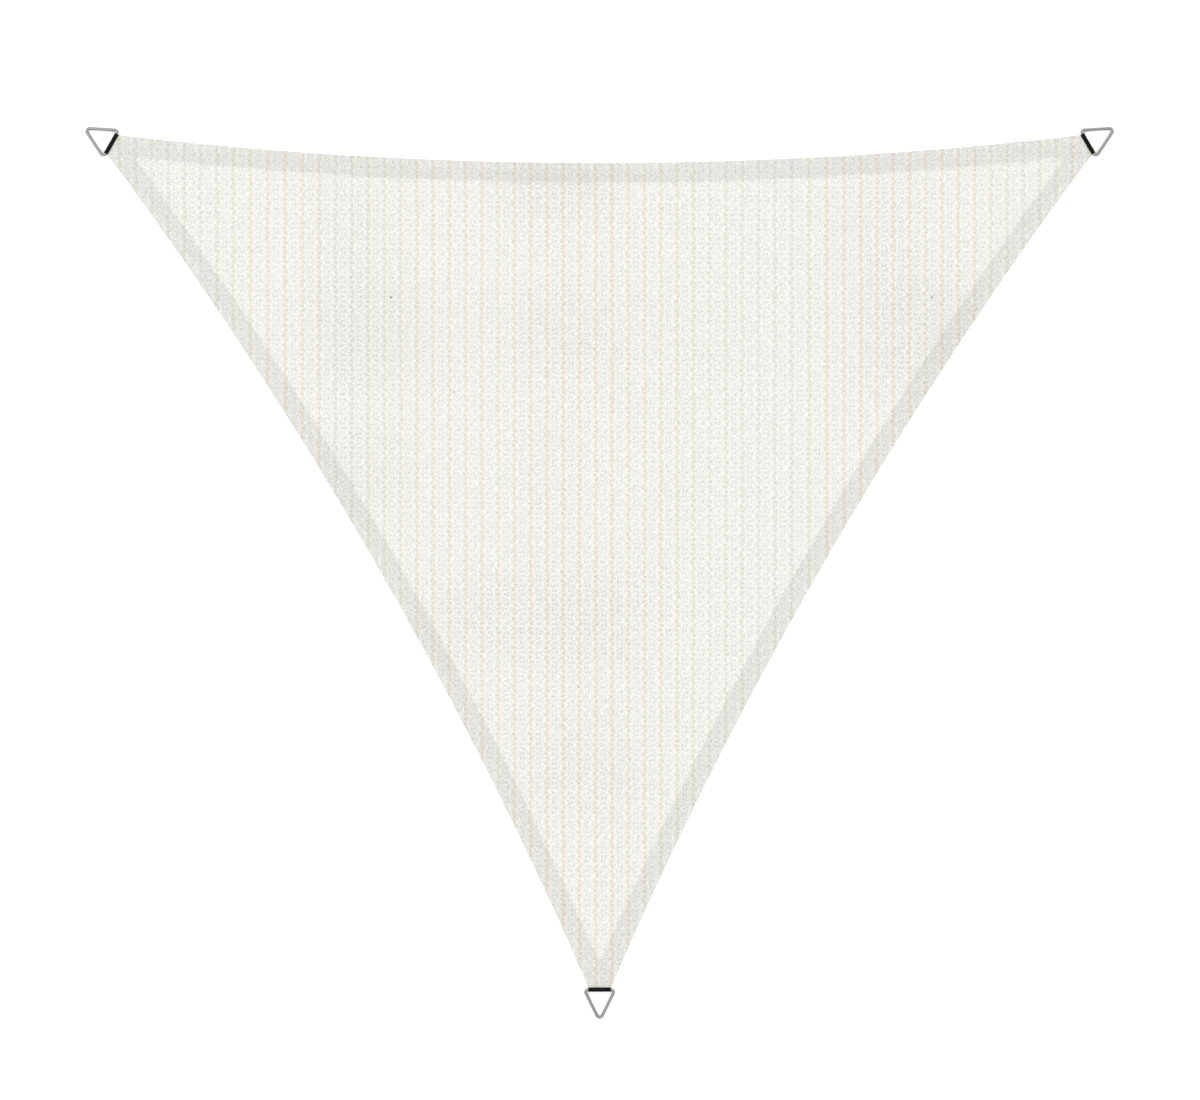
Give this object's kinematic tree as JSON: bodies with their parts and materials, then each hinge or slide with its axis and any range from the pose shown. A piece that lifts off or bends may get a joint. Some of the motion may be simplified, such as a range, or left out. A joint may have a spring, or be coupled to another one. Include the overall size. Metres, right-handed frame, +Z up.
{
  "type": "shade sail",
  "caption": "Triangular knitted shade sail with hollow edges and a turned hem, and at each corner a closed steel ring held by a webbing loop, laid flat.",
  "frame": {"origin": "middle of the sail on the surface that it lies on, level with the cloth's underside", "axes": "+Z up, away from the surface; -Y towards the corner with ring_front; +X along the opposite edge, towards the corner with ring_right"},
  "size_m": [2.632, 2.2823, 0.0102],
  "materials": {
    "knit": "off-white knit with cream stripes",
    "steel": "satin stainless rod",
    "webbing": "black woven webbing"
  },
  "bodies": {
    "root": {"sail_cloth": "knit", "ring_left": "steel", "ring_right": "steel", "ring_front": "steel", "loop_left": "webbing", "loop_right": "webbing", "loop_front": "webbing"}
  },
  "joints": []
}
